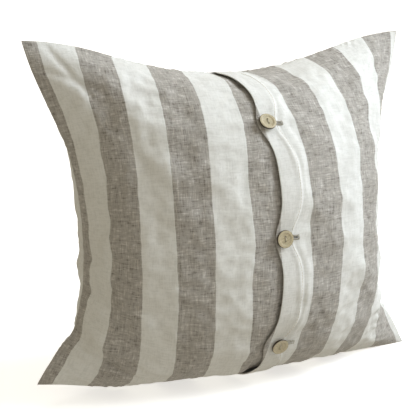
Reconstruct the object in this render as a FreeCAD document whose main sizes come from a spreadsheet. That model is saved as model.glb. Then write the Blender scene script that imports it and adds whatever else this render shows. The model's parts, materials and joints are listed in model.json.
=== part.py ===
import FreeCAD, Part
import math
import os

# Square linen throw pillow, standing on its pressed-in bottom edge.
# Frame: millimetres, +X to the pillow's right seen from the front, -Y the buttoned
# front, +Z up. The origin is on the ground at the centre of the bounding box's base.
#
# The pillow is a set of nested skins: striped linen cover, ticking insert and filling.
# Every skin is the same cushion surface at its own inset from the cover's outside.
# The front is two panels: the right one ends in a buttonhole flap that laps over the
# left one, and three buttons on thread shanks come up through the flap.

doc = FreeCAD.newDocument("throw_pillow")

# ---------------------------------------------------------------- driving dimensions
SIZES = (
    # cushion surface
    ("half_width", 248, "centre to corner tip, along X"),
    ("height_centre", 165, "widest cross-section above the ground"),
    ("rise_above", 247, "widest cross-section up to the top corner tips"),
    ("press_depth", 16, "how far the bottom is pressed flat by the ground"),
    ("front_thick", 127, "seam plane to the fullest point of the front"),
    ("back_thick", 135.2, "seam plane to the fullest point of the back"),
    ("rim_half", 4, "half thickness of the seamed rim"),
    ("pull_side", 0.2, "how far the side seams draw in, as a share"),
    ("pull_top", 0.18, "how far the top seam draws down, as a share"),
    ("full_side", 0.8, "fullness of the section towards the side seams"),
    ("full_top", 1.1, "fullness of the section towards the top seam"),
    # layers
    ("cloth", 1.2, "thickness of a linen panel with its seam allowance"),
    ("layer_gap", 0.6, "air between one skin and the next"),
    ("ticking", 0.8, "thickness of the insert's cloth"),
    ("seam_gap", 0.5, "width of a stitched seam between two panels"),
    ("stitch_clear", 0.1, "air between a thread and what is beside it"),
    # placket, whose own frame is centred on the middle button
    ("button_x", 2.5, "middle button, along X"),
    ("button_z", 179, "middle button, above the ground"),
    ("button_step", 124, "spacing of the buttons along the placket"),
    ("placket_lean", 2, "degrees that the placket's top leans to the left"),
    ("edge_reach", 8, "line of buttons to the flap's free edge"),
    ("flap_wide", 42, "free edge to the line where the flap starts to lift"),
    ("flap_thick", 1.8, "double hem"),
    ("flap_air", 0.5, "air between the flap and the left panel"),
    ("flap_end", 14, "the flap's ends in front of the seam plane"),
    ("flap_foot", 8, "the flap's lower end above the ground"),
    ("hem_fold", 25, "free edge to the hem's line of stitching"),
    ("thread_wide", 0.8, "width of a line of stitching"),
    ("thread_high", 0.4, "height of a line of stitching"),
    # buttons, their threads and the buttonholes
    ("button_wide", 20, "button diameter"),
    ("button_thick", 3.2, "button thickness at the rim"),
    ("rim_round", 0.9, "rounding of the button's rim"),
    ("dish_wide", 13, "diameter of the sunk face"),
    ("dish_deep", 0.7, "depth of the sunk face"),
    ("eye_wide", 2.2, "diameter of a thread hole"),
    ("eye_step", 5, "distance between the two thread holes"),
    ("button_air", 2.4, "air between the flap and the button's underside"),
    ("shank_wide", 2.4, "diameter of the wound thread shank"),
    ("leg_wide", 1.6, "diameter of the thread through a hole"),
    ("hole_long", 22, "buttonhole length, along the horizontal"),
    ("hole_wide", 4.8, "buttonhole width, drawn open by the shank"),
    ("hole_lead", 3.4, "outer end of the buttonhole to the button's centre"),
    ("bar_wide", 0.9, "width of the buttonhole stitching"),
)

sheet = doc.addObject("Spreadsheet::Sheet", "sizes")
for row, (alias, value, meaning) in enumerate(SIZES, start=1):
    sheet.set("A%d" % row, str(value))
    sheet.setAlias("A%d" % row, alias)
    sheet.set("B%d" % row, meaning)
doc.recompute()


def size(alias):
    return float(sheet.get(alias))


def bound(kind, name, placement=None, **links):
    """A document object whose properties follow expressions over the sheet's cells."""
    thing = doc.addObject(kind, name)
    for path, expression in links.items():
        thing.setExpression(path, expression)
    if placement is not None:
        thing.Placement = placement
    return thing


def combined(kind, name, first, second):
    """Part::Cut or Part::Common of two document objects."""
    result = doc.addObject(kind, name)
    result.Base = first
    result.Tool = second
    return result


# ------------------------------------------------------------------ cushion surface
ACROSS = 24     # spans of the surface from side seam to side seam
DOWN = 10       # spans below the widest cross-section
UP = 12         # spans above it


def surface_point(across, around, inset, side):
    """A point of the cushion surface, `inset` inside the cover's outer face.

    across runs from -1 to 1 between the side seams. around runs from -1 at the bottom
    seam through 0 at the widest cross-section to 1 at the top seam. side is -1 for the
    front and 1 for the back.
    """
    if around < 0:
        angle = (1 + around) * math.pi / 2
        level = -math.cos(angle)
        swell = math.sin(angle)
        drawn = (size("height_centre") + size("press_depth") - inset) * level
    else:
        level = around
        swell = (1 - level ** 2) * (1 + size("full_top") * level ** 2)
        sag = 1 - size("pull_top") * (1 - across ** 2)
        drawn = (size("rise_above") - inset) * level * sag
    fullness = (1 - across ** 2) * (1 + size("full_side") * across ** 2)
    thick = size("front_thick") if side < 0 else size("back_thick")
    bulge = (thick - size("rim_half")) * fullness * swell
    half_width = size("half_width") - inset
    x = half_width * across * (1 - size("pull_side") * (1 - level ** 2))
    y = side * (size("rim_half") - inset + bulge)
    return FreeCAD.Vector(x, y, size("height_centre") + drawn)


def cushion_face(inset, side):
    rows = []
    for i in range(ACROSS + 1):
        across = math.sin((2 * i / ACROSS - 1) * math.pi / 2)
        below = [surface_point(across, j / DOWN - 1, inset, side) for j in range(DOWN)]
        above = [surface_point(across, j / UP, inset, side) for j in range(UP + 1)]
        rows.append(below + above)
    surface = Part.BSplineSurface()
    surface.interpolate(rows)
    return surface.toShape()


def cushion(name, inset):
    """Closed cushion body between its two faces and the rim, pressed flat underneath."""
    front = cushion_face(inset, -1)
    back = cushion_face(inset, 1)
    rim = [Part.makeRuledSurface(a, b) for a, b in zip(front.Edges, back.Edges)]
    shell = Part.makeShell([front, back] + rim)
    shell.sewShape()
    solid = Part.makeSolid(shell)
    if solid.Volume < 0:
        solid.reverse()
    round_body = doc.addObject("Part::Feature", name + "_round")
    round_body.Shape = solid
    reach = 2 * size("half_width") + 100
    base = FreeCAD.Vector(-reach / 2, -reach / 2, inset)
    above_ground = bound("Part::Box", name + "_ground", FreeCAD.Placement(
        base, FreeCAD.Rotation()))
    for side in ("Length", "Width", "Height"):
        above_ground.setExpression(side, "2 * sizes.half_width + 100")
    return combined("Part::Common", name, round_body, above_ground)


def skin(name, outer, inner):
    return combined("Part::Cut", name, outer, inner)


INSIDE_COVER = size("cloth")
INSERT_OUT = INSIDE_COVER + size("layer_gap")
INSERT_IN = INSERT_OUT + size("ticking")
FLAP_IN = -size("flap_air")
FLAP_OUT = FLAP_IN - size("flap_thick")
HEM_IN = FLAP_OUT - size("stitch_clear")
HEM_OUT = HEM_IN - size("thread_high")

cover_body = cushion("cover_outside", 0)
cover_skin = skin("cover_skin", cover_body, cushion("cover_inside", INSIDE_COVER))
insert_skin = skin("insert_skin", cushion("insert_outside", INSERT_OUT),
                   cushion("insert_inside", INSERT_IN))
flap_skin = skin("flap_skin", cushion("flap_outside", FLAP_OUT),
                 cushion("flap_inside", FLAP_IN))
hem_skin = skin("hem_skin", cushion("hem_outside", HEM_OUT),
                cushion("hem_inside", HEM_IN))
doc.recompute()

# --------------------------------------------------------------------- placket frame
# Its X runs across the placket to the right, its Z up along the line of buttons.
PLACKET = FreeCAD.Placement(
    FreeCAD.Vector(size("button_x"), 0, size("button_z")),
    FreeCAD.Rotation(FreeCAD.Vector(0, 1, 0), -size("placket_lean")))
LIFT_LINE = size("flap_wide") - size("edge_reach")


def slab(name, left, right, near, far, low, high, frame=FreeCAD.Placement()):
    """Box between pairs of planes of a frame; near and far are along its Y."""
    corner = FreeCAD.Placement(FreeCAD.Vector(left, near, low), FreeCAD.Rotation())
    box = doc.addObject("Part::Box", name)
    box.Length = right - left
    box.Width = far - near
    box.Height = high - low
    box.Placement = frame.multiply(corner)
    return box


FAR = size("half_width") + 60
HALF_SEAM = size("seam_gap") / 2
HALF_THREAD = HALF_SEAM - size("stitch_clear")

nodes = {}


def keep(name, label, thing):
    """Register a finished sub-part under its node name."""
    thing.Label = name
    nodes[name] = (label, thing)
    return thing


# ---------------------------------------------------------------------- cover panels
back_side = slab("back_side", -FAR, FAR, HALF_SEAM, FAR, -10, 2 * FAR)
left_side = slab("left_side", -2 * FAR, LIFT_LINE - 1, -FAR, -HALF_SEAM, -FAR, 2 * FAR,
                 PLACKET)
right_side = slab("right_side", LIFT_LINE + HALF_SEAM, 2 * FAR, -FAR, -HALF_SEAM,
                  -FAR, 2 * FAR, PLACKET)
seam_side = slab("seam_side", -FAR, FAR, -HALF_THREAD, HALF_THREAD, -10, 2 * FAR)

keep("cover_back_panel", "plain striped back of the cover",
     combined("Part::Common", "back_panel", cover_skin, back_side))
keep("cover_left_panel", "left front, runs on under the flap and carries the buttons",
     combined("Part::Common", "left_panel", cover_skin, left_side))
keep("cover_right_panel", "right front, up to the line where its flap lifts",
     combined("Part::Common", "right_panel", cover_skin, right_side))
keep("cover_seam_thread", "one run of stitching round all four sides",
     combined("Part::Common", "cover_seam", cover_skin, seam_side))

# --------------------------------------------------------------------------- insert
front_side = slab("front_side", -FAR, FAR, -FAR, -HALF_SEAM, -10, 2 * FAR)
keep("insert_front_ticking", "front of the insert's ticking bag",
     combined("Part::Common", "insert_front", insert_skin, front_side))
keep("insert_back_ticking", "back of the insert's ticking bag",
     combined("Part::Common", "insert_back", insert_skin, back_side))
keep("insert_seam_thread", "seam that closes the insert",
     combined("Part::Common", "insert_seam", insert_skin, seam_side))
keep("filling", "loose fibre filling as one body",
     cushion("filling_body", INSERT_IN + size("layer_gap")))

# ----------------------------------------------------------------- places of buttons
doc.recompute()


def front_at(x, z):
    """Point where a line along Y through (x, z) meets the front of the cover."""
    line = Part.makeLine(FreeCAD.Vector(x, -FAR, z), FreeCAD.Vector(x, 0, z))
    return FreeCAD.Vector(x, line.common(cover_body.Shape).BoundBox.YMin, z)


def seat(step):
    """Placement of a button's seat: X along the horizontal, Z outward from the cloth."""
    middle = PLACKET.multVec(FreeCAD.Vector(0, 0, step * size("button_step")))
    probe = size("button_wide") / 2
    across = front_at(middle.x + probe, middle.z) - front_at(middle.x - probe, middle.z)
    upward = front_at(middle.x, middle.z + probe) - front_at(middle.x, middle.z - probe)
    outward = across.cross(upward)
    turn = FreeCAD.Rotation(across, FreeCAD.Vector(), outward, "ZXY")
    return FreeCAD.Placement(front_at(middle.x, middle.z), turn)


SEATS = {"top": seat(1), "middle": seat(0), "bottom": seat(-1)}

# ------------------------------------------------------- flap, its holes and stitching
FLAP_TOP = 2 * size("half_width")
flap_zone = slab("flap_zone", -size("edge_reach"), LIFT_LINE, -FAR, -size("flap_end"),
                 -size("button_z") + size("flap_foot"), FLAP_TOP, PLACKET)
flap_blank = combined("Part::Common", "flap_blank", flap_skin, flap_zone)

OPEN_LEFT = -size("hole_lead")
OPEN_RIGHT = OPEN_LEFT + size("hole_long")
OPEN_HALF = size("hole_wide") / 2


def hole_tool(name, margin):
    """Three boxes through the flap, `margin` larger all round than the open slots."""
    boxes = [slab(name + "_" + place, OPEN_LEFT - margin, OPEN_RIGHT + margin,
                  -OPEN_HALF - margin, OPEN_HALF + margin, -5, 9, seat_frame)
             for place, seat_frame in SEATS.items()]
    together = doc.addObject("Part::MultiFuse", name)
    together.Shapes = boxes
    return together


open_slots = hole_tool("open_slots", 0)
worked_slots = hole_tool("worked_slots", size("bar_wide"))
cut_slots = hole_tool("cut_slots", size("bar_wide") + size("stitch_clear"))

keep("placket_flap", "free hem of the right front with three buttonholes",
     combined("Part::Cut", "flap_with_holes", flap_blank, cut_slots))
worked = combined("Part::Common", "worked_edges", flap_blank, worked_slots)
keep("buttonhole_threads", "stitched edges of the three buttonholes",
     combined("Part::Cut", "buttonhole_stitching", worked, open_slots))

hem_line = size("hem_fold") - size("edge_reach")
hem_half = size("thread_wide") / 2
hem_zone = slab("hem_zone", hem_line - hem_half, hem_line + hem_half, -FAR,
                -size("flap_end") - 2, -size("button_z") + size("flap_foot") + 1,
                FLAP_TOP, PLACKET)
keep("flap_hem_thread", "line of stitching that holds the flap's hem",
     combined("Part::Common", "hem_line", hem_skin, hem_zone))

# -------------------------------------------------------- buttons, threads and shanks
UNDERSIDE = size("flap_air") + size("flap_thick") + size("button_air")
UPPER = UNDERSIDE + size("button_thick")


def button(place, frame):
    """Two-hole button with a rounded rim and a sunk face."""
    blank = bound("Part::Cylinder", "blank_" + place,
                  Radius="sizes.button_wide / 2", Height="sizes.button_thick")
    doc.recompute()
    rounded = doc.addObject("Part::Fillet", "rounded_" + place)
    rounded.Base = blank
    radius = size("rim_round")
    circles = [i for i, edge in enumerate(blank.Shape.Edges, start=1) if edge.Closed]
    rounded.Edges = [(i, radius, radius) for i in circles]
    dish = bound("Part::Cylinder", "dish_" + place,
                 Radius="sizes.dish_wide / 2", Height="sizes.dish_deep")
    dish.setExpression("Placement.Base.z", "sizes.button_thick - sizes.dish_deep")
    eyes = []
    for sign in ("-", ""):
        eye = bound("Part::Cylinder", "eye_" + place, Radius="sizes.eye_wide / 2",
                    Height="sizes.button_thick")
        eye.setExpression("Placement.Base.y", sign + "sizes.eye_step / 2")
        eyes.append(eye)
    waste = doc.addObject("Part::MultiFuse", "button_waste_" + place)
    waste.Shapes = [dish] + eyes
    finished = combined("Part::Cut", "button_body_" + place, rounded, waste)
    lift = FreeCAD.Placement(FreeCAD.Vector(0, 0, UNDERSIDE), FreeCAD.Rotation())
    finished.Placement = frame.multiply(lift)
    return finished


def button_thread(place, frame):
    """Thread up one hole, across the sunk face and down the other."""
    face = size("button_thick") - size("dish_deep") + size("stitch_clear")
    legs = []
    for sign in ("-", ""):
        leg = bound("Part::Cylinder", "leg_" + place, Radius="sizes.leg_wide / 2")
        leg.Height = face + size("leg_wide") / 2
        leg.setExpression("Placement.Base.y", sign + "sizes.eye_step / 2")
        legs.append(leg)
    bridge = bound("Part::Cylinder", "bridge_" + place, Radius="sizes.leg_wide / 2",
                   Height="sizes.eye_step")
    bridge.Placement = FreeCAD.Placement(
        FreeCAD.Vector(0, size("eye_step") / 2, face + size("leg_wide") / 2),
        FreeCAD.Rotation(FreeCAD.Vector(1, 0, 0), 90))
    loop = doc.addObject("Part::MultiFuse", "thread_body_" + place)
    loop.Shapes = legs + [bridge]
    lift = FreeCAD.Placement(FreeCAD.Vector(0, 0, UNDERSIDE), FreeCAD.Rotation())
    loop.Placement = frame.multiply(lift)
    return loop


def button_shank(place, frame):
    """Thread wound into a stem between the left panel and the button."""
    stem = bound("Part::Cylinder", "shank_body_" + place, Radius="sizes.shank_wide / 2")
    clear = size("stitch_clear")
    stem.Height = UNDERSIDE - 2 * clear
    lift = FreeCAD.Placement(FreeCAD.Vector(0, 0, clear), FreeCAD.Rotation())
    stem.Placement = frame.multiply(lift)
    return stem


for place, frame in SEATS.items():
    keep("button_" + place, "two-hole coconut shell button", button(place, frame))
    keep("button_thread_" + place, "thread through the button's holes",
         button_thread(place, frame))
    keep("button_shank_" + place, "thread shank under the button",
         button_shank(place, frame))

doc.recompute()

# --------------------------------------------------------------------- check and write
for thing in doc.Objects:
    if "Invalid" in thing.State or "Error" in thing.State:
        raise RuntimeError("%s failed: %s" % (thing.Label, thing.State))

os.makedirs("parts", exist_ok=True)
for name, (label, thing) in nodes.items():
    shape = thing.Shape
    if shape.isNull() or not shape.isValid():
        raise RuntimeError(name + " has no valid shape")
    shape.exportStep("parts/" + name + ".step")
    print("%-22s %2d solid(s) %10.1f mm3  %s" % (name, len(shape.Solids), shape.Volume, label))

for place, frame in SEATS.items():
    outward = frame.Rotation.multVec(FreeCAD.Vector(0, 0, 1))
    print("seat", place, tuple(round(v, 3) for v in frame.Base),
          tuple(round(v, 5) for v in outward))
hinge_end = PLACKET.multVec(FreeCAD.Vector(LIFT_LINE, 0, 0))
axis = PLACKET.Rotation.multVec(FreeCAD.Vector(0, 0, 1))
hinge = front_at(hinge_end.x, hinge_end.z)
print("flap hinge", tuple(round(v, 3) for v in hinge), tuple(round(v, 5) for v in axis))
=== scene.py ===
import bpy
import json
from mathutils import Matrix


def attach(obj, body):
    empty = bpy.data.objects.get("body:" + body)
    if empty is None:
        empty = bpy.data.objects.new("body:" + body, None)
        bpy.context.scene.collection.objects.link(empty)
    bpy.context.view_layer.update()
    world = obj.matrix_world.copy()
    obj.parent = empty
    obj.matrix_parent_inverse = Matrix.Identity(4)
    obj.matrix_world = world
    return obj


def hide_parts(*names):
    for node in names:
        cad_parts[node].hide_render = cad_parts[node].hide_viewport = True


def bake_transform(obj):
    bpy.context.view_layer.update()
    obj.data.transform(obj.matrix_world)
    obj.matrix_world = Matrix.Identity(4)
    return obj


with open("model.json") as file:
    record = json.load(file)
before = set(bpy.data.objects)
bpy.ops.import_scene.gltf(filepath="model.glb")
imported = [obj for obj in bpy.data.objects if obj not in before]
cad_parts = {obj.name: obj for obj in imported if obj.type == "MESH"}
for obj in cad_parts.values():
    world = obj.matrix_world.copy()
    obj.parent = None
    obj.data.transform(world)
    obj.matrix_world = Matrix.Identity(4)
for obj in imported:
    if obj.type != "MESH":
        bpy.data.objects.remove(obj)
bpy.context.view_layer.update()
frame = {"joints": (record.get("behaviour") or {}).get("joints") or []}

import json
from math import cos, pi, radians, sin, tau

import bpy
import numpy as np
from mathutils import Matrix, Vector

# A striped linen cushion cover with a buttoned placket, full of a fibre insert, standing on its bottom
# seam. The front faces -Y. Cloth points are named by (u, v): u runs from the left seam to the right
# seam, v from the bottom seam to the top seam, both 0 to 1 on the cloth.

MM = 0.001
JOINTS = {joint["name"]: joint for joint in frame["joints"]}
PLACES = ("top", "middle", "bottom")
SEATS = {place: np.array(JOINTS["button_spin_" + place]["pos_m"]) for place in PLACES}
FACINGS = {place: np.array(JOINTS["button_spin_" + place]["axis"]) for place in PLACES}

# ---------------------------------------------------------------- cloth solver

SIDE = 0.5                  # the flat cloth, seam to seam
GAPE = 0.09                 # how much wider the front gets at mid height, where the placket gapes
VOLUME = 0.0255             # of the stuffing, m3
HALF_WIDE = 0.25            # middle to ear
SIDE_DRAW = 0.065           # how far the side seams are drawn in
WAIST = 0.174               # height of the fullest part
ABOVE_WAIST = 0.231         # from there to an upper ear
BELOW_WAIST = 0.174         # from there to the floor
TOP_DRAW = 0.043            # how far the top seam is drawn down
FRONT_THICK = 0.135         # seam plane to the fullest point
BACK_THICK = 0.131
SHEAR_GIVE = 0.5            # 0 is stiff
BEND_GIVE = 6.0
DAMPING = 0.985
PRESSURE = 1.3e-6           # of the stuffing, as metres a step
EMPTY_CORNER = 0.02         # the stuffing doesn't reach this far into a corner
FULL_CORNER = 0.08          # and presses fully from here on
WALL = 0.002                # front and back cloth stay this far apart
TETHER = 0.02               # how strongly the finer cloth is held to the coarse shape, a step


def smooth_step(start, end, value):
    """0 before start, 1 after end, smooth between."""
    share = np.clip((value - start) / (end - start), 0, 1)
    return share * share * (3 - 2 * share)


def row_stretch(v):
    """Width of the front at height share v, over SIDE."""
    return 1 + GAPE * np.sin(pi * np.clip(v, 0, 1)) ** 0.7


def pair_groups(cells):
    """Neighbouring cloth points as (first, second, rest length, give), with no point twice in a group."""
    count = cells + 1
    spacing = SIDE / cells
    widths = np.ones((2, 1, count))
    widths[0] = row_stretch(np.linspace(0, 1, count))
    slants = np.sqrt(1 + ((widths[..., 1:] + widths[..., :-1]) / 2) ** 2)
    every = slice(None)
    groups = []

    def add_along(axis, start, step, reach, give):
        first = slice(start, count - reach, step)
        second = slice(start + reach, count, step)
        length = reach * spacing
        if axis == 0:
            groups.append(((every, first), (every, second), (widths * length).astype(np.float32), give))
        else:
            groups.append(((every, every, first), (every, every, second), length, give))

    for axis in (0, 1):
        for start in (0, 1):
            add_along(axis, start, 2, 1, 0.0)
    low, high = slice(0, cells), slice(1, count)
    slant = (slants * spacing).astype(np.float32)
    for start in (0, 1):
        left, right = slice(start, cells, 2), slice(start + 1, count, 2)
        groups.append(((every, left, low), (every, right, high), slant, SHEAR_GIVE))
        groups.append(((every, left, high), (every, right, low), slant, SHEAR_GIVE))
    for axis in (0, 1):
        for start in range(4):
            add_along(axis, start, 4, 2, BEND_GIVE)
    return groups


def hold_length(cloth, first, second, length, give):
    """Moves each pair of points towards its rest length."""
    gap = cloth[second] - cloth[first]
    span = np.sqrt(np.einsum("...k,...k->...", gap, gap)) + 1e-12
    move = gap * ((span - length) / ((2 + give) * span))[..., None]
    cloth[first] += move
    cloth[second] -= move


def slopes(cloth):
    """Twice the step between neighbours, along u and along v."""
    along_u, along_v = np.empty_like(cloth), np.empty_like(cloth)
    along_u[:, 1:-1] = cloth[:, 2:] - cloth[:, :-2]
    along_u[:, 0] = 2 * (cloth[:, 1] - cloth[:, 0])
    along_u[:, -1] = 2 * (cloth[:, -1] - cloth[:, -2])
    along_v[:, :, 1:-1] = cloth[:, :, 2:] - cloth[:, :, :-2]
    along_v[:, :, 0] = 2 * (cloth[:, :, 1] - cloth[:, :, 0])
    along_v[:, :, -1] = 2 * (cloth[:, :, -1] - cloth[:, :, -2])
    return along_u, along_v


def outward(cloth):
    """Outward vectors of the front (0) and back (1) cloth, as long as 4 times a cell's area."""
    across = np.cross(*slopes(cloth))
    across[1] *= -1
    return across


def sew_edges(cloth):
    """Joins the front's edge to the back's, all round."""
    for rim in ((slice(None), 0), (slice(None), -1), (0,), (-1,)):
        middle = (cloth[0][rim] + cloth[1][rim]) / 2
        cloth[0][rim] = middle
        cloth[1][rim] = middle


def edge_distance(count):
    """How far each cloth point is from the nearest seam, in metres on the flat cloth."""
    steps = np.arange(count)
    inward = np.minimum(steps, count - 1 - steps) * SIDE / (count - 1)
    return np.minimum(inward[:, None], inward[None])


def stuffing_reach(count):
    """1 where the stuffing presses on the cloth, 0 in the empty corners."""
    across = np.abs(np.linspace(-SIDE / 2, SIDE / 2, count))
    corner = np.hypot(SIDE / 2 - across[:, None], SIDE / 2 - across[None])
    return smooth_step(EMPTY_CORNER, FULL_CORNER, corner)


def part_layers(cloth, normal, wall):
    """Keeps the front cloth in front of the back cloth."""
    lengths = np.sqrt((normal ** 2).sum(-1)) + 1e-12
    between = normal[1] / lengths[1][..., None] - normal[0] / lengths[0][..., None]
    between /= np.sqrt((between ** 2).sum(-1))[..., None] + 1e-9
    apart = ((cloth[1] - cloth[0]) * between).sum(-1)
    move = between * (np.clip(wall - apart, 0, 0.0005) * 0.25)[..., None]
    cloth[1] += move
    cloth[0] -= move


def settle(cloth, steps, goal):
    """Fills the sewn cover up to VOLUME over some steps, while it is drawn a little towards the goal."""
    cells = cloth.shape[1] - 1
    spacing = SIDE / cells
    groups = pair_groups(cells)
    reach = (stuffing_reach(cells + 1) / (4 * spacing * spacing))[None, :, :, None].astype(np.float32)
    rim = edge_distance(cells + 1)
    wall = np.where(rim <= 1.5 * spacing, -1, WALL * np.clip(rim / 0.012 - 0.3, 0, 1)).astype(np.float32)
    speed = np.zeros_like(cloth)
    push = PRESSURE
    for step in range(steps):
        normal = outward(cloth)
        if step % 10 == 0:
            held = (cloth[..., 1] * normal[..., 1]).sum() / 4
            push = PRESSURE * np.clip((VOLUME - held) / (0.03 * VOLUME), -0.2, 1)
        speed *= DAMPING
        speed += normal * (push * reach)
        before = cloth.copy()
        cloth += speed
        cloth += (goal - cloth) * TETHER
        for group in groups:
            hold_length(cloth, *group)
        sew_edges(cloth)
        part_layers(cloth, normal, wall)
        landed = cloth[..., 2] < 0
        cloth[..., 2] = np.maximum(cloth[..., 2], 0)
        for axis in (0, 1):
            dragged = before[..., axis] * 0.6 + cloth[..., axis] * 0.4
            cloth[..., axis] = np.where(landed, dragged, cloth[..., axis])
        speed = cloth - before
    return cloth


def refine(cloth):
    """The same cloth with a point added between each two neighbours."""
    for axis in (1, 2):
        rows = np.moveaxis(cloth, axis, 0)
        middle = (rows[:-1] + rows[1:]) / 2
        middle[1:-1] = (9 * (rows[1:-2] + rows[2:-1]) - (rows[:-3] + rows[3:])) / 16
        finer = np.empty((2 * len(rows) - 1, *rows.shape[1:]), cloth.dtype)
        finer[::2] = rows
        finer[1::2] = middle
        cloth = np.moveaxis(finer, 0, axis)
    return np.ascontiguousarray(cloth)


def plump_form(cells):
    """A rough full cushion standing on its bottom seam, which the cloth is then hung on."""
    u = np.linspace(-1, 1, cells + 1)[:, None]
    v = np.linspace(-1, 1, cells + 1)[None]
    inner_u, inner_v = 1 - u ** 2, 1 - v ** 2
    bent_u = u + 0.9 * inner_v * (np.sin(u * pi / 2) - u)
    bent_v = v + 0.83 * inner_u ** 1.25 * (np.sin(v * pi / 2) - v)
    x = (HALF_WIDE - SIDE_DRAW * inner_v ** 0.85) * bent_u
    reach_up = np.where(v > 0, ABOVE_WAIST - TOP_DRAW * inner_u ** 2, BELOW_WAIST)
    z = np.maximum(WAIST + reach_up * bent_v, 0)
    belly = np.cos(u * pi / 2) ** 0.7 * np.cos(v * pi / 2) ** np.where(v > 0, 0.75, 0.66)
    sheets = [np.stack([x, thickness * belly, z], -1) for thickness in (-FRONT_THICK, BACK_THICK)]
    return np.nan_to_num(np.stack(sheets)).astype(np.float32)


def stuffed_cover():
    """Front and back cloth of the stuffed cover: an array (2, u, v, xyz)."""
    goal = plump_form(50)
    cloth = settle(goal.copy(), 400, goal)
    return (cloth + cloth[:, ::-1] * np.float32([-1, 1, 1])) / 2


def creased(cloth):
    """The same shape on a cloth four times as fine, with the small creases that its stuffing leaves."""
    for steps in (300, 200):
        goal = refine(cloth)
        cloth = settle(goal.copy(), steps, goal)
    return cloth.astype(float)


# ---------------------------------------------------------------- how it sits

def dab(u, v, spot, reach):
    """A soft round weight: 1 at the spot, fading over reach, both in cloth shares."""
    return np.exp(-(((u - spot[0]) / reach[0]) ** 2 + ((v - spot[1]) / reach[1]) ** 2) / 2)


# Where handling has pulled the cover about, both sheets alike: (cloth spot, reach, move in mm).
PULLS = (
    ((1.00, 0.80), (0.14, 0.12), (12, 0, 0)),       # the upper right side is fuller
    ((0.00, 0.00), (0.10, 0.10), (4, 0, 22)),       # the lower left ear turns up
)


def pulled(cloth):
    """The cover moved by PULLS, and still above the floor."""
    share = np.linspace(0, 1, cloth.shape[1])
    for spot, reach, move in PULLS:
        weight = dab(share[:, None], share[None], spot, reach)
        cloth = cloth + weight[None, ..., None] * np.array(move) * MM
    cloth[..., 2] = np.maximum(cloth[..., 2], 0)
    return cloth.astype(np.float32)


def sample(sheet, u, v):
    """A sheet's values at cloth shares (u, v), smooth between its grid points."""
    cells = sheet.shape[0] - 1

    def neighbours(share):
        spot = np.clip(share, 0, 1) * cells
        base = np.minimum(spot.astype(int), cells - 1)
        t = spot - base
        weights = (-t + 2 * t ** 2 - t ** 3, 2 - 5 * t ** 2 + 3 * t ** 3,
                   t + 4 * t ** 2 - 3 * t ** 3, t ** 3 - t ** 2)
        return [(np.clip(base + step, 0, cells), weight / 2)
                for step, weight in zip((-1, 0, 1, 2), weights)]

    total = 0
    for i, weight_u in neighbours(u):
        for j, weight_v in neighbours(v):
            total = total + sheet[i, j] * (weight_u * weight_v)[..., None]
    return total


def locate(sheet, x, z):
    """The cloth shares of the front's point at (x, z)."""
    cells = sheet.shape[0] - 1
    off = np.hypot(sheet[..., 0] - x, sheet[..., 2] - z)
    spot = np.array(np.unravel_index(off.argmin(), off.shape)) / cells
    step = 0.002
    for _ in range(6):
        trial_u, trial_v = spot[0] + np.array([0, step, 0]), spot[1] + np.array([0, 0, step])
        here, beside, above = sample(sheet, trial_u, trial_v)
        slope = np.stack([beside - here, above - here], 1)[[0, 2]] / step
        spot = spot + np.linalg.solve(slope, np.array([x, z]) - here[[0, 2]])
    return spot


EAR_ROOM = 0.005            # between the two sheets of an empty ear
RIM_WINDOW = 17             # grid cells each way that the seam is averaged over
SOFTEN = 0.9                # share of the small creases that pressing has taken out
SOFTEN_ROUNDS = 130         # how widely: more rounds take out broader creases


def unit(vectors):
    """Vectors brought to length 1."""
    return vectors / (np.sqrt((vectors ** 2).sum(-1, keepdims=True)) + 1e-12)


def smoothed(sheet, rounds):
    """A grid of values averaged with its neighbours some times; its rim stays."""
    for _ in range(rounds):
        for axis in (0, 1):
            rows = np.moveaxis(sheet, axis, 0)
            inner = (rows[:-2] + 2 * rows[1:-1] + rows[2:]) / 4
            sheet = np.moveaxis(np.concatenate([rows[:1], inner, rows[-1:]]), 0, axis)
    return sheet


def softened(cloth):
    """The cover with most of its small creases taken out, in its seam first and then inside."""
    window = RIM_WINDOW - np.abs(np.arange(1 - RIM_WINDOW, RIM_WINDOW))
    calm = cloth.copy()
    for rim in ((slice(None), 0), (slice(None), -1), (0,), (-1,)):
        line = cloth[0][rim]
        ends = [np.repeat(end, RIM_WINDOW - 1, 0) for end in (line[:1], line[-1:])]
        pad = np.concatenate([ends[0], line, ends[1]])
        mean = sum(pad[k:k + len(line)] * weight for k, weight in enumerate(window)) / window.sum()
        from_end = np.minimum(np.arange(len(line)), np.arange(len(line))[::-1]) / (len(line) - 1)
        line = line + (mean - line) * (smooth_step(0, 0.1, from_end) * SOFTEN)[:, None]
        calm[0][rim] = line
        calm[1][rim] = line
    smooth = np.stack([smoothed(sheet, SOFTEN_ROUNDS) for sheet in calm])
    mixed = calm * (1 - SOFTEN) + smooth * SOFTEN
    # the front and back cloth are kept apart in the empty ears
    room = EAR_ROOM * smooth_step(0, 0.018, edge_distance(cloth.shape[1]))
    short = np.maximum(room - (mixed[1, ..., 1] - mixed[0, ..., 1]), 0)
    short = smoothed(short[..., None], 3)[..., 0]
    mixed[0, ..., 1] -= short / 2
    mixed[1, ..., 1] += short / 2
    return mixed


DIMPLE = 3 * MM             # how far a button draws the front in
DIMPLE_REACH = 0.040        # cloth share


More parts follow.
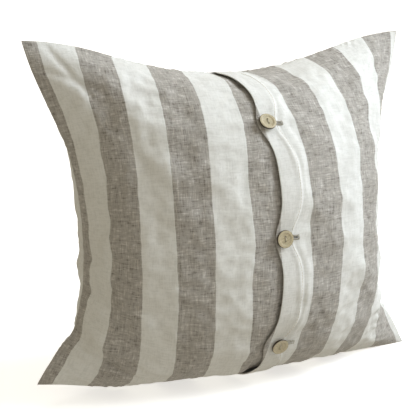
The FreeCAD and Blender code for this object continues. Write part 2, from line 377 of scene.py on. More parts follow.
def seated(cloth):
    """The cover with its front moved a little along Y, so that it passes through the button seats."""
    front = cloth[0]
    free = smooth_step(0, 0.07, edge_distance(front.shape[0]))
    spots = [locate(front, seat[0], seat[2]) for seat in SEATS.values()]
    away = lambda spot, seat: np.hypot(front[..., 0] - seat[0], front[..., 2] - seat[2])
    swells = [np.exp(-(away(*pair) / 0.07) ** 2 / 2) * free for pair in zip(spots, SEATS.values())]
    share = np.linspace(0, 1, front.shape[0])
    for spot in spots:
        front[..., 1] += DIMPLE * dab(share[:, None], share[None], spot, (DIMPLE_REACH, DIMPLE_REACH))
    at_seats = np.array([[float(sample(swell[..., None], *spot)[0]) for swell in swells] for spot in spots])
    missing = [seat[1] - sample(front, *spot)[1] for seat, spot in zip(SEATS.values(), spots)]
    for swell, amount in zip(swells, np.linalg.solve(at_seats, missing)):
        front[..., 1] += swell * amount
    return cloth, dict(zip(PLACES, spots))


# ---------------------------------------------------------------- the cloth's own measures

STRIPE = 0.0439             # width of a stripe
LEFT_REMNANT = 0.0167       # grey at the left seam
RIGHT_REMNANT = 0.0102      # white at the right seam
PATTERN_WIDE = LEFT_REMNANT + 12 * STRIPE + RIGHT_REMNANT
FLAP_EDGE = 0.271           # the flap's free edge to the right seam
EDGE_PULL = 0.009           # how much further left it is at a button
PULL_TALL = 0.016           # how far up and down a button pulls
FLAP_WIDE = 0.042           # free edge to the line where the flap lifts
HEM_FOLD = 0.025            # free edge to the hem's stitching
UNDERLAP = 0.050            # how far the left panel runs on under the flap
GATHERS = {"top": 0.0025, "middle": 0.006, "bottom": 0.002}     # cloth drawn towards each button

cloth_shape, spots = seated(softened(creased(pulled(stuffed_cover()))))


def row_wide(v):
    """Width of the front's cloth at height share v, in metres."""
    return SIDE * row_stretch(v)


def even_grid(count):
    """Shares u and v of count by count cloth points."""
    share = np.linspace(0, 1, count)
    return share[:, None] + 0 * share[None], share[None] + 0 * share[:, None]


def noise_sheet(seed, wave, count=512):
    """A tileable sheet of soft random bumps about `wave` metres apart, of unit strength."""
    random = np.random.default_rng(seed).normal(size=(count, count))
    steps = np.fft.fftfreq(count, SIDE / (count - 1))
    pitch = np.hypot(steps[:, None], steps[None]) * wave
    sheet = np.fft.ifft2(np.fft.fft2(random) * pitch * np.exp(-pitch ** 2)).real
    return (sheet / sheet.std())[..., None]



def ear(u, v):
    """1 in the four empty corners, 0 where the stuffing fills the cloth."""
    corner = np.hypot(np.minimum(u, 1 - u), np.minimum(v, 1 - v)) * SIDE
    return smooth_step(0.075, 0.03, corner)


FRONTWARD = np.array([0, -1.0, 0])


def facings(cloth):
    """Smooth outward directions of the two sheets, opposite each other in the ears."""
    front, back = [smoothed(unit(sheet), 3) for sheet in outward(cloth.copy())]
    share = np.linspace(0, 1, cloth.shape[1])
    weight = ear(share[:, None], share[None])[..., None]
    return unit(front * (1 - weight) + FRONTWARD * weight), unit(back * (1 - weight) - FRONTWARD * weight)


FACES = facings(cloth_shape)
BROAD = [noise_sheet(seed, 0.055) for seed in (11, 12)]
CREASES = [noise_sheet(seed, 0.022) for seed in (21, 22)]
FINE = [noise_sheet(seed, 0.0045) for seed in (31, 32)]
PUCKERS = [noise_sheet(seed, 0.012) for seed in (41, 42)]

# Folds pressed into the front: (start, end, half width in mm, height in mm), a valley below 0.
FOLDS = (
    ((0.05, 0.17), (0.28, 0.07), 5.0, -4.0),        # the belly hangs over the lower left ear
    ((0.08, 0.23), (0.27, 0.14), 8.0, 2.5),
    ((0.03, 0.08), (0.12, 0.03), 4.0, 1.2),
    ((0.00, 0.36), (0.10, 0.33), 7.0, -1.8),        # dents at the left side
    ((0.00, 0.46), (0.09, 0.44), 7.0, -1.6),
    ((0.02, 0.93), (0.15, 0.86), 6.0, -2.2),        # upper left ear
    ((0.05, 0.99), (0.12, 0.85), 5.0, -2.0),
    ((0.97, 0.92), (0.84, 0.87), 7.0, -2.4),        # upper right ear
    ((0.93, 0.99), (0.89, 0.86), 5.0, 1.6),
    ((0.97, 0.17), (0.84, 0.20), 6.0, -2.6),        # lower right
    ((0.96, 0.10), (0.87, 0.14), 5.0, 1.4),
    ((0.95, 0.05), (0.88, 0.07), 4.0, -1.2),
    ((0.90, 0.30), (0.97, 0.22), 7.0, -1.5),
)


def fold(u, v, start, end, half_width, height):
    """Height of one fold at cloth points, fading towards its ends."""
    run = np.array(end) - np.array(start)
    share = ((u - start[0]) * run[0] + (v - start[1]) * run[1]) / (run @ run)
    along = np.clip(share, 0, 1)
    off = np.hypot(u - start[0] - along * run[0], v - start[1] - along * run[1]) * SIDE
    fade = smooth_step(-0.3, 0.25, share) * smooth_step(1.3, 0.75, share)
    fade = fade * smooth_step(0, 0.008, seam_distance(u, v))
    return height * MM * np.exp(-(off / (half_width * MM)) ** 2) * fade


def seam_distance(u, v):
    """Metres from the nearest seam on the flat cloth."""
    return np.minimum(np.minimum(u, 1 - u), np.minimum(v, 1 - v)) * SIDE


def relief(side, u, v):
    """How far the cloth stands off its smooth shape, for the front (0) or back (1)."""
    rim = seam_distance(u, v)
    free = 1 - 0.85 * ear(u, v)
    inner = smooth_step(0.004, 0.05, rim) * free
    broad, narrow = (sample(sheets[side], u, v)[..., 0] for sheets in (BROAD, CREASES))
    height = inner * (0.9 * MM * broad + 0.35 * MM * narrow)
    height = height + 0.05 * MM * sample(FINE[side], u, v)[..., 0] * smooth_step(0, 0.004, rim)
    near = np.exp(-(rim / 0.011) ** 2) * smooth_step(0, 0.003, rim)
    height = height + near * free * (0.7 * MM + 0.5 * MM * sample(PUCKERS[side], u, v)[..., 0])
    for crease in FOLDS:
        swell = fold(u, v, *crease)
        height = height + (swell if side == 0 else -swell * ear(u, v))
    return height


def near_button(place, x, v, wide, tall):
    """A soft weight round a button, for cloth at x metres from the left seam."""
    spot_u, spot_v = spots[place]
    return np.exp(-((x - spot_u * row_wide(spot_v)) / wide) ** 2 / 2 - ((v - spot_v) * SIDE / tall) ** 2 / 2)


def free_edge(v):
    """Share u of the flap's free edge at height share v."""
    reach = FLAP_EDGE + sum(EDGE_PULL * np.exp(-((v - spots[place][1]) * SIDE / PULL_TALL) ** 2 / 2)
                            for place in PLACES)
    return 1 - reach / row_wide(v)


def gaping(v):
    """0 at the buttons and seams, 1 half way between two buttons."""
    closed = sum(np.exp(-((v - spots[place][1]) * SIDE / 0.028) ** 2) for place in PLACES)
    return np.clip(1 - closed, 0, 1) * smooth_step(0, 0.12, v) * smooth_step(1, 0.88, v)


def gathered(x, v, towards):
    """Cloth positions x drawn towards the buttons, for the left (1) or right (-1) panel."""
    for place, amount in GATHERS.items():
        x = x + towards * amount * near_button(place, x, v, 0.050, 0.020)
    return x


def on_sheet(side, u, v, lift):
    """Points of a sheet at cloth shares (u, v), lifted off its smooth shape."""
    base = sample(cloth_shape[side], u, v)
    facing = unit(sample(FACES[side], u, v))
    return base + facing * lift[..., None]


# ---------------------------------------------------------------- pieces

def grid_faces(columns, rows, flip=False, closed=False):
    """Quads of a grid of points numbered along its rows first; closed joins the last column to the first."""
    spans = columns if closed else columns - 1
    i, j = np.meshgrid(np.arange(spans), np.arange(rows - 1), indexing="ij")
    i, j = i.ravel(), j.ravel()
    beside = (i + 1) % columns
    corners = [i * rows + j, beside * rows + j, beside * rows + j + 1, i * rows + j + 1]
    return np.stack(corners[::-1] if flip else corners, -1)


def mesh_piece(name, points, faces, material, uv=None, uv_name="cloth"):
    """A smooth mesh object; uv has one pair for each point."""
    mesh = bpy.data.meshes.new(name)
    mesh.from_pydata(points.reshape(-1, 3).tolist(), [], faces.tolist())
    mesh.materials.append(material)
    mesh.shade_smooth()
    if uv is not None:
        corners = np.empty(len(mesh.loops), np.int32)
        mesh.loops.foreach_get("vertex_index", corners)
        layer = mesh.uv_layers.new(name=uv_name)
        layer.data.foreach_set("uv", uv.reshape(-1, 2)[corners].astype(np.float32).ravel())
    piece = bpy.data.objects.new(name, mesh)
    bpy.context.collection.objects.link(piece)
    return piece


def finish_piece(piece, body, slot, *nodes):
    """Rides a piece on its body, in place of CAD nodes."""
    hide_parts(*nodes)
    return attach(piece, body)


ROWS = 345
HEIGHTS = np.linspace(0, 1, ROWS)


def left_panel(material):
    """Left front, running on under the flap and drawn in where a button holds it."""
    x_share = np.linspace(0, 1, ROWS * 19 // 34)[:, None]
    v = HEIGHTS[None] + 0 * x_share
    wide = row_wide(v)
    x = x_share * (free_edge(v) * wide + UNDERLAP)
    drawn = gathered(x, v, 1)
    u = np.clip(drawn / wide, 0, 1)
    rim = seam_distance(u, v)
    past_edge = (u - free_edge(v)) * wide
    under = smooth_step(-0.012, 0.006, past_edge)
    deeper = 2.2 * MM * smooth_step(0.010, 0.036, past_edge) + 1.6 * MM * gaping(v)
    sunk = -(1.0 * MM + deeper) * under * smooth_step(0.0, 0.006, rim)
    lift = relief(0, u, v) * (1 - 0.8 * smooth_step(-0.002, 0.01, past_edge)) + sunk
    for place in PLACES:
        hold = near_button(place, drawn, v, 0.013, 0.016)
        lift = lift - 1.2 * MM * near_button(place, drawn, v, 0.022, 0.013)
        lift = lift * (1 - hold) - 0.1 * MM * hold
        fan = near_button(place, drawn + 0.034, v, 0.018, 0.016)
        angle = (v - spots[place][1]) * SIDE / 0.0042
        lift = lift + 0.5 * MM * fan * np.sin(angle + PLACES.index(place))
    points = on_sheet(0, u, v, lift)
    uv = np.stack([x, v * SIDE], -1)
    piece = mesh_piece("cover_front_left", points, grid_faces(*u.shape), material, uv)
    finish_piece(piece, "cover", "linen", "cover_left_panel")
    return piece


# The flap's cloth in section, from the folded-under hem's raw edge to its fold and out over the top:
# metres from the free edge, and metres above the left panel.
HEM_UNDER = 0.9 * MM
HEM_OVER = 2.1 * MM
SLIT_HALF = 0.65 * MM        # half height of an open buttonhole in the visual cloth
SLIT_LEFT = -0.0034         # from the button's line
SLIT_RIGHT = 0.0186


def flap_section(steps_under, steps_round):
    """(distance from the free edge, height share 0 under to 1 over) along the folded hem."""
    radius = (HEM_OVER - HEM_UNDER) / 2
    raw_edge = HEM_FOLD + 0.002
    inward = [(raw_edge - (raw_edge - radius) * k / steps_under, 0.0) for k in range(steps_under)]
    turns = [pi * k / steps_round for k in range(steps_round + 1)]
    bend = [(radius * (1 - sin(turn)), (1 - cos(turn)) / 2) for turn in turns]
    return inward + bend


def flap_lift_height(distance, share, v, rim):
    """Height of the flap's cloth above the panel, by distance from the free edge."""
    hem = smooth_step(HEM_FOLD + 0.004, HEM_FOLD - 0.001, distance)
    settle_down = smooth_step(FLAP_WIDE, HEM_FOLD, distance)
    over = (1.1 * MM + (HEM_OVER - 1.1 * MM) * hem) * settle_down
    height = HEM_UNDER * (1 - share) + over * share
    loose = gaping(v) * smooth_step(HEM_FOLD + 0.012, 0.0, distance) * 1.2 * MM
    return (height + loose) * smooth_step(0.0, 0.010, rim) + 0.3 * MM * settle_down


def right_panel(material):
    """Right front with its flap: one cloth from the folded-under hem to the right seam."""
    section = flap_section(14, 6)
    rest = ROWS * 18 // 34
    v = slit_rows(HEIGHTS)[None]
    wide = row_wide(v)
    reach = (1 - free_edge(v)) * wide
    start = section[-1][0]
    share_out = np.linspace(0, 1, rest + 1)[1:, None]
    distance = np.concatenate([np.array([d for d, _ in section])[:, None] + 0 * v,
                               start + share_out * (reach - start)])
    share = np.concatenate([np.array([s for _, s in section]), np.ones(rest)])[:, None] + 0 * v
    v = v + 0 * distance
    wide = row_wide(v)
    u = np.clip(1 - (reach - distance) / wide, 0, 1)
    x_cloth = PATTERN_WIDE - (reach - distance)
    drawn = gathered(u * wide, v, -1) + edge_gathers(v, distance)
    u = np.clip(drawn / wide, 0, 1)
    rim = seam_distance(u, v)
    calm = 1 - 0.75 * smooth_step(FLAP_WIDE + 0.01, 0.01, distance)
    lift = relief(0, u, v) * calm + flap_lift_height(distance, share, v, rim)
    lift = lift + flap_folds(distance, share, v, rim)
    for place in PLACES:
        hold = near_button(place, drawn, v, 0.012, 0.011)
        flat = flap_lift_height(distance, share, v, rim * 0 + 1)
        lift = lift * (1 - hold) + np.minimum(flat, 2.1 * MM) * hold
    points = on_sheet(0, u, v, lift)
    faces = cut_slits(grid_faces(*u.shape), points)
    uv = np.stack([x_cloth, v * SIDE], -1)
    piece = mesh_piece("cover_front_right", points, faces, material, uv)
    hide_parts("cover_right_panel", "placket_flap")
    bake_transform(piece)
    return piece


def edge_gathers(v, distance):
    """The gathers fade out at the flap's edge, whose own pull is in free_edge."""
    fade = smooth_step(0.03, 0.0, distance)
    return sum(amount * fade * np.exp(-((v - spots[place][1]) * SIDE / 0.020) ** 2 / 2)
               for place, amount in GATHERS.items())


def slit_rows(heights):
    """Row heights with two rows moved onto the sides of each buttonhole."""
    rows = heights.copy()
    half = SLIT_HALF / SIDE
    for centre in (spots[place][1] for place in PLACES):
        near = np.searchsorted(rows, centre)
        rows[near - 1] = centre - half
        rows[near] = centre + half
    return rows


def cut_slits(faces, points):
    """Faces without those inside the three buttonholes."""
    middles = points.reshape(-1, 3)[faces].mean(1)
    keep = np.ones(len(faces), bool)
    for place in PLACES:
        seat, facing = SEATS[place], FACINGS[place]
        across = np.cross((0, 0, 1), facing)
        across /= -np.linalg.norm(across) if across[0] < 0 else np.linalg.norm(across)
        upward = np.cross(facing, across) * (1 if np.cross(facing, across)[2] > 0 else -1)
        away = middles - seat
        inside = (away @ across > SLIT_LEFT) & (away @ across < SLIT_RIGHT)
        keep &= ~(inside & (np.abs(away @ upward) < SLIT_HALF * 0.9) & (np.abs(away @ facing) < 0.02))
    return faces[keep]


def flap_folds(distance, share, v, rim):
    """Soft vertical folds along the flap, and gathers where it meets the top seam."""
    over = share * smooth_step(0.0, 0.02, rim)
    wander = 0.0015 * np.sin(v * 23) + 0.001 * np.sin(v * 41 + 1)
    ridge = np.exp(-((distance - 0.0225 - wander) / 0.0032) ** 2) * 1.3
    groove = -np.exp(-((distance - 0.0285 - wander) / 0.0028) ** 2) * 1.1
    second = np.exp(-((distance - 0.035 + wander) / 0.004) ** 2) * 1.0
    strength = 0.65 + 0.35 * np.sin(v * 17 + 2)
    upper = smooth_step(0.80, 0.97, v)
    gathers = upper * np.sin(distance / 0.0021) * np.exp(-((distance - 0.03) / 0.022) ** 2) * 0.55
    return over * MM * (strength * (ridge + groove + second) + gathers)


def whole_sheet(name, side, material, slot, node):
    """The back of the cover, one plain striped cloth."""
    share = np.linspace(0, 1, ROWS * 30 // 34)
    u, v = share[:, None] + 0 * share[None], share[None] + 0 * share[:, None]
    points = on_sheet(side, u, v, relief(side, u, v))
    uv = np.stack([(1 - u) * SIDE, v * SIDE], -1)
    piece = mesh_piece(name, points, grid_faces(*u.shape, flip=True), material, uv)
    finish_piece(piece, "cover", slot, node)
    return piece


INSERT_SHARE = 0.965        # the insert's size as a share of the cover's
FILLING_SHARE = 0.93        # and the filling's


def shrunk(points, amount):
    """Points drawn in towards the middle of the pillow, to `amount` of their distance."""
    middle = np.array([0, 0, WAIST])
    return middle + (points - middle) * amount


def inner_sheets(material):
    """The insert's two sheets, plain ticking just inside the cover."""
    count = 81
    u, v = even_grid(count)
    for side, name in enumerate(("insert_front_ticking", "insert_back_ticking")):
        inner = smooth_step(0, 0.05, seam_distance(u, v))
        puckers = 0.8 * MM * sample(CREASES[side], u, v)[..., 0] * inner
        points = shrunk(on_sheet(side, u, v, puckers - 5 * MM * inner), INSERT_SHARE)
        uv = np.stack([u * SIDE, v * SIDE], -1)
        faces = grid_faces(count, count, flip=side == 1)
        piece = mesh_piece(name.replace("ticking", "sheet"), points, faces, material, uv)
        finish_piece(piece, "cover", "ticking", name)


def filling_body(material):
    """The loose fibre filling, one closed lumpy body inside the insert."""
    count = 61
    u, v = even_grid(count)
    inward = 8 * MM * smooth_step(0, 0.05, seam_distance(u, v))
    sheets = []
    for side in (0, 1):
        lumps = 2 * MM * sample(BROAD[side], u, v)[..., 0] * smooth_step(0, 0.06, seam_distance(u, v))
        sheets.append(shrunk(on_sheet(side, u, v, lumps - inward), FILLING_SHARE))
    rim = (sheets[0] + sheets[1]) / 2
    edge = seam_distance(u, v) < 1e-9
    for sheet in sheets:
        sheet[edge] = rim[edge]
    front = grid_faces(count, count)
    back = grid_faces(count, count, flip=True) + count * count
    numbers = np.arange(2 * count * count)
    numbers[count * count:][edge.ravel()] = numbers[:count * count][edge.ravel()]
    faces = numbers[np.concatenate([front, back])]
    used, faces = np.unique(faces, return_inverse=True)
    points = np.concatenate([sheet.reshape(-1, 3) for sheet in sheets])[used]
    piece = mesh_piece("filling_body", points, faces.reshape(-1, 4), material)
    finish_piece(piece, "cover", "fibre", "filling")


def strand(runs, radius, sides=6):
    """Points and faces of round threads that follow some runs of points, tapered to their ends."""
    points, faces, used = [], [], 0
    turn = np.linspace(0, tau, sides, endpoint=False)
    for run in runs:
        along = unit(np.gradient(run, axis=0))
        guide = np.where(np.abs(along[:, 1:2]) < 0.9, [[0.0, 1.0, 0.0]], [[1.0, 0.0, 0.0]])
        first = unit(np.cross(along, guide))
        second = np.cross(along, first)
        size = np.full(len(run), radius)
        size[[0, -1]] = radius * 0.35
        ring = np.cos(turn)[None, :, None] * first[:, None] + np.sin(turn)[None, :, None] * second[:, None]
        points.append((run[:, None] + ring * size[:, None, None]).reshape(-1, 3))
        faces.append(grid_faces(len(run), sides)[:, ::-1] + used)
        last = np.arange(len(run) - 1) * sides + used
        faces.append(np.stack([last + sides - 1 + sides, last + sides, last, last + sides - 1], -1)[:, ::-1])
        used += len(run) * sides
    return np.concatenate(points), np.concatenate(faces)


def stitch_run(line, length, gap):
    """Splits a dense line of points into stitches."""
    steps = np.sqrt((np.diff(line, axis=0) ** 2).sum(-1))
    travelled = np.concatenate([[0], np.cumsum(steps)])
    starts = np.arange(0, travelled[-1] - length, length + gap)
    runs = []
    for start in starts:
        marks = start + length * np.array([0, 0.2, 0.5, 0.8, 1.0])
        runs.append(np.stack([np.interp(marks, travelled, line[:, axis]) for axis in range(3)], -1))
    return runs


def seam_stitches(material):
    """The lines of stitches in the cover's seam and in the insert's, all round."""
    share = np.linspace(0, 1, 1200)
    low, high = 0 * share, 0 * share + 1
    sides = ((share, low), (high, share), (share[::-1], high), (low, share[::-1]))
    runs = []
    for u, v in sides:
        line = sample(cloth_shape[0], u, v)
        inward = unit(np.array([0, 0, WAIST]) - line)
        runs += stitch_run(line + inward * 0.6 * MM, 0.0026, 0.0006)
    inset_runs = [shrunk(run, INSERT_SHARE) for run in runs[::2]]
    for owner, lines in (("cover", runs), ("insert", inset_runs)):
        points, faces = strand(lines, 0.35 * MM)
        piece = mesh_piece(owner + "_seam_stitches", points, faces, material)
        finish_piece(piece, "cover", "thread", owner + "_seam_thread")


def hem_stitches(material):
    """The flap's line of hem stitches."""
    v = np.linspace(0.055, 0.96, 1500)
    wide = row_wide(v)
    distance = np.full_like(v, HEM_FOLD)
    reach = (1 - free_edge(v)) * wide
    base = (1 - (reach - distance) / wide) * wide
    drawn = gathered(base, v, -1) + edge_gathers(v, distance)
    u = drawn / wide
    rim = seam_distance(u, v)
    lift = relief(0, u, v) * 0.35 + flap_lift_height(distance, 1 + 0 * v, v, rim)
    lift = lift + flap_folds(distance, 1 + 0 * v, v, rim) + 0.12 * MM
    runs = stitch_run(on_sheet(0, u, v, lift), 0.0028, 0.0007)
    points, faces = strand(runs, 0.28 * MM)
    piece = mesh_piece("flap_hem_stitches", points, faces, material)
    finish_piece(piece, "flap", "thread", "flap_hem_thread")


def seat_frame(place):
    """Across, upward and outward directions at a button's seat."""
    facing = FACINGS[place] / np.linalg.norm(FACINGS[place])
    across = np.array([1.0, 0, 0]) - facing * facing[0]
    across /= np.linalg.norm(across)
    upward = np.cross(facing, across)
    return across, upward * np.sign(upward[2]), facing


# One satin stitch from the slit outwards, and one stitch of an end bar across it: (metres from the
# slit's line, height in metres).
SATIN = ((0.0009, -0.0008), (0.0011, 0.0001), (0.0018, 0.00028), (0.0026, -0.0001), (0.0028, -0.0009))
BAR = ((-0.0029, -0.0008), (-0.0024, 0.0002), (0, 0.0005), (0.0024, 0.0002), (0.0029, -0.0008))


def buttonhole_stitches(material):
    """Satin stitches along both sides of the three buttonholes, with a bar at each end."""
    runs = []
    random = np.random.default_rng(5)
    base_height = HEM_OVER + 0.3 * MM
    for place in PLACES:
        across, upward, facing = seat_frame(place)
        for side in (-1, 1):
            for x in np.arange(SLIT_LEFT - 0.0006, SLIT_RIGHT + 0.0006, 0.00045):
                jitter = random.normal(0, 0.00008, 2)
                runs.append(np.array([SEATS[place] + across * (x + jitter[0])
                                      + upward * side * (reach + jitter[1]) + facing * (base_height + rise)
                                      for reach, rise in SATIN]))
        for end, way in ((SLIT_LEFT, -1), (SLIT_RIGHT, 1)):
            for k in range(4):
                x = end + way * (0.0003 + 0.00042 * k)
                runs.append(np.array([SEATS[place] + across * x + upward * y + facing * (base_height + rise)
                                      for y, rise in BAR]))
    points, faces = strand(runs, 0.24 * MM)
    piece = mesh_piece("buttonhole_stitches", points, faces, material)
    finish_piece(piece, "flap", "thread", "buttonhole_threads")


# ---------------------------------------------------------------- buttons

UNDERSIDE = 4.7 * MM        # the button's underside to its seat
THICK = 3.2 * MM
RADIUS = 10 * MM
RIM_ROUND = 0.9 * MM
DISH_DEEP = 0.65 * MM
EYE = 1.1 * MM              # radius of a thread hole
EYE_STEP = 5 * MM
EYE_SIDES = 28


def button_height(radius):
    """Height of the button's upper face above its underside, at a distance from its middle."""
    dish = DISH_DEEP * smooth_step(7.6 * MM, 5.6 * MM, radius)
    rounding = np.clip(radius - (RADIUS - RIM_ROUND), 0, RIM_ROUND)
    return THICK - dish - (RIM_ROUND - np.sqrt(np.maximum(RIM_ROUND ** 2 - rounding ** 2, 0)))


def button_mesh(place):
    """x, y and z of a turned body without eyes, as rings from the middle of its face to its underside's."""
    angle = np.linspace(0, tau, 96, endpoint=False)
    rings = RADIUS * np.sin(np.linspace(0.0, pi / 2, 29))
    top_rings = np.concatenate([rings[rings < 7 * MM][1:], np.linspace(7.2, 10, 16) * MM])
    lower = ((10.0, 1.6), (9.9, 1.0), (9.6, 0.5), (9.1, 0.15), (8.5, 0.0), (6.0, 0.0), (3.0, 0.0), (0.3, 0.0))
    profile = [(r, button_height(np.array(r))) for r in top_rings[top_rings < RADIUS * 0.9999]]
    profile += [(r * MM, h * MM) for r, h in lower]
    radius = np.array([r for r, _ in profile])[:, None]
    height = np.array([float(h) for _, h in profile])[:, None]
    x, y = radius * np.cos(angle)[None], radius * np.sin(angle)[None]
    warp = 1 + 0.006 * np.sin(3 * angle + PLACES.index(place))[None] * (radius / RADIUS)
    return x * warp, y * warp, height + 0 * x


def tube_walls(sides):
    """Quads between a low ring of points and a high one."""
    return [(k, (k + 1) % sides, sides + (k + 1) % sides, sides + k) for k in range(sides)]


def button_piece(place, material):
    """A coconut shell button: a turned body with its two eyes cut through."""
    x, y, z = button_mesh(place)
    across, upward, facing = seat_frame(place)
    rows, count = x.shape
    points = np.stack([x, y, z], -1).reshape(-1, 3)
    order = np.arange(rows * count).reshape(rows, count).T.ravel()
    faces = order[grid_faces(count, rows, closed=True)]
    cap = [list(range(count - 1, -1, -1)), list(range((rows - 1) * count, rows * count))]
    mesh = bpy.data.meshes.new("button_blank")
    mesh.from_pydata(points.tolist(), [], [list(map(int, face)) for face in faces] + cap)
    blank = bpy.data.objects.new("button_%s_turned" % place, mesh)
    bpy.context.collection.objects.link(blank)
    eyes = []
    for sign in (-1, 1):
        eye_mesh = bpy.data.meshes.new("eye")
        turn = np.linspace(0, tau, EYE_SIDES, endpoint=False)
        ring = np.stack([EYE * np.cos(turn), sign * EYE_STEP / 2 + EYE * np.sin(turn), 0 * turn], -1)
        ends = np.concatenate([ring - (0, 0, 1 * MM), ring + (0, 0, 5 * MM)])
        ends_faces = [list(range(EYE_SIDES))[::-1], list(range(EYE_SIDES, 2 * EYE_SIDES))]
        eye_mesh.from_pydata(ends.tolist(), [], tube_walls(EYE_SIDES) + ends_faces)
        eye = bpy.data.objects.new("eye", eye_mesh)
        bpy.context.collection.objects.link(eye)
        cut = blank.modifiers.new("eye", "BOOLEAN")
        cut.operation = "DIFFERENCE"
        cut.solver = "EXACT"
        cut.object = eye
        eyes.append(eye)
    bpy.context.view_layer.update()
    mesh = bpy.data.meshes.new_from_object(blank.evaluated_get(bpy.context.evaluated_depsgraph_get()))
    blank.modifiers.clear()
    blank.data = mesh
    for eye in eyes:
        bpy.data.objects.remove(eye)
    mesh.materials.clear()
    mesh.materials.append(material)
    coords = np.empty(len(mesh.vertices) * 3)
    mesh.vertices.foreach_get("co", coords)
    coords = coords.reshape(-1, 3)
    corners = np.empty(len(mesh.loops), np.int32)
    mesh.loops.foreach_get("vertex_index", corners)
    layer = mesh.uv_layers.new(name="turned")
    layer.data.foreach_set("uv", coords[corners][:, :2].astype(np.float32).ravel())
    raised = (coords[:, 2:] + UNDERSIDE) * facing
    seated_points = SEATS[place] + coords[:, :1] * across + coords[:, 1:2] * upward + raised
    mesh.vertices.foreach_set("co", seated_points.ravel())
    mesh.shade_smooth()
    mesh.update()
    mesh.set_sharp_from_angle(angle=radians(38))
    finish_piece(blank, "button_" + place, "coconut", "button_" + place)


def button_threads(place, material):
    """Five cream threads up one eye, over the bar between the eyes and down the other."""
    across, upward, facing = seat_frame(place)
    face = UNDERSIDE + THICK - DISH_DEEP
    runs = []
    for k in range(5):
        side = (k - 2) * 0.24 * MM
        marks = [(-0.9, UNDERSIDE + 0.3 * MM), (-0.86, face - 0.7 * MM), (-0.70, face + 0.12 * MM),
                 (-0.4, face + 0.5 * MM), (0, face + 0.62 * MM), (0.4, face + 0.5 * MM),
                 (0.70, face + 0.12 * MM), (0.86, face - 0.7 * MM), (0.9, UNDERSIDE + 0.3 * MM)]
        bow = 0.25 * MM * sin(k * 2.4 + PLACES.index(place))
        runs.append(np.array([SEATS[place] + across * (side * (1 - 0.35 * abs(y)) + bow * (1 - abs(y)))
                              + upward * y * EYE_STEP / 2 + facing * (z + (0.12 - 0.05 * abs(k - 2)) * MM)
                              for y, z in marks]))
    points, faces = strand(runs, 0.21 * MM, sides=8)
    finish_piece(mesh_piece("button_%s_stitches" % place, points, faces, material),
                 "button_" + place, "button_thread", "button_thread_" + place)


def button_shank(place, material):
    """Thread wound round the stem under the button."""
    across, upward, facing = seat_frame(place)
    coil = 0.34 * MM
    turn = np.linspace(0, tau * 9, 260)
    rise = np.linspace(0.25 * MM, UNDERSIDE - 0.35 * MM, 260)
    winding = (SEATS[place] + np.cos(turn)[:, None] * across * coil
               + np.sin(turn)[:, None] * upward * coil + rise[:, None] * facing)
    height = np.linspace(0.15 * MM, UNDERSIDE - 0.2 * MM, 8)
    core = SEATS[place] + height[:, None] * facing
    points, faces = strand([winding], 0.15 * MM)
    more, more_faces = strand([core], 0.33 * MM, sides=12)
    points, faces = np.concatenate([points, more]), np.concatenate([faces, more_faces + len(points)])
    finish_piece(mesh_piece("button_%s_winding" % place, points, faces, material),
                 "shank_" + place, "button_thread", "button_shank_" + place)


# ---------------------------------------------------------------- materials

class Shader:
    """A material being made, with short names for the nodes it uses."""

    def __init__(self, name, roughness, **fixed):
        self.material = bpy.data.materials.new(name)
        self.material.use_nodes = True
        self.tree = self.material.node_tree
        self.surface = self.tree.nodes["Principled BSDF"]
        self.surface.inputs["Roughness"].default_value = roughness
        for socket, value in fixed.items():
            self.surface.inputs[socket.replace("_", " ")].default_value = value

    def node(self, kind, **settings):
        node = self.tree.nodes.new(kind)
        for key, value in settings.items():
            setattr(node, key, value)
        return node

    def plug(self, socket, value):
        if isinstance(value, bpy.types.NodeSocket):
            self.tree.links.new(value, socket)
        else:
            socket.default_value = value

    def math(self, operation, *values):
        node = self.node("ShaderNodeMath", operation=operation)
        for socket, value in zip(node.inputs, values):
            self.plug(socket, value)
        return node.outputs[0]

    def mix(self, share, first, second, blend="MIX"):
        node = self.node("ShaderNodeMix", data_type="RGBA", blend_type=blend)
        self.plug(node.inputs[0], share)
        self.plug(node.inputs[6], first)
        self.plug(node.inputs[7], second)
        return node.outputs[2]

    def span(self, value, low, high, to_low=0.0, to_high=1.0):
        node = self.node("ShaderNodeMapRange", interpolation_type="SMOOTHSTEP")
        for socket, number in zip(node.inputs, (value, low, high, to_low, to_high)):
            self.plug(socket, number)
        return node.outputs[0]

    def noise(self, vector, scale, detail=2.0, distortion=0.0):
        """Noise whose bumps are about 1 / scale metres, with its own scale for x and y."""
        stretch = self.node("ShaderNodeVectorMath", operation="MULTIPLY")
        self.plug(stretch.inputs[0], vector)
        stretch.inputs[1].default_value = scale
        node = self.node("ShaderNodeTexNoise")
        self.plug(node.inputs["Vector"], stretch.outputs[0])
        node.inputs["Scale"].default_value = 1.0
        node.inputs["Detail"].default_value = detail
        node.inputs["Distortion"].default_value = distortion
        return node.outputs[0]

    def bump(self, height, distance, strength=1.0):
        node = self.node("ShaderNodeBump")
        node.inputs["Strength"].default_value = strength
        node.inputs["Distance"].default_value = distance
        self.plug(node.inputs["Height"], height)
        self.plug(self.surface.inputs["Normal"], node.outputs[0])

    def colour(self, value):
        self.plug(self.surface.inputs["Base Color"], value)


THREAD = 0.00062            # pitch of the linen's threads
WHITE = (0.85, 0.86, 0.86, 1)
WHITE_SHADE = (0.74, 0.75, 0.745, 1)
FLAX = (0.425, 0.405, 0.385, 1)
FLAX_LIGHT = (0.69, 0.675, 0.655, 1)
FLAX_DARK = (0.19, 0.175, 0.16, 1)


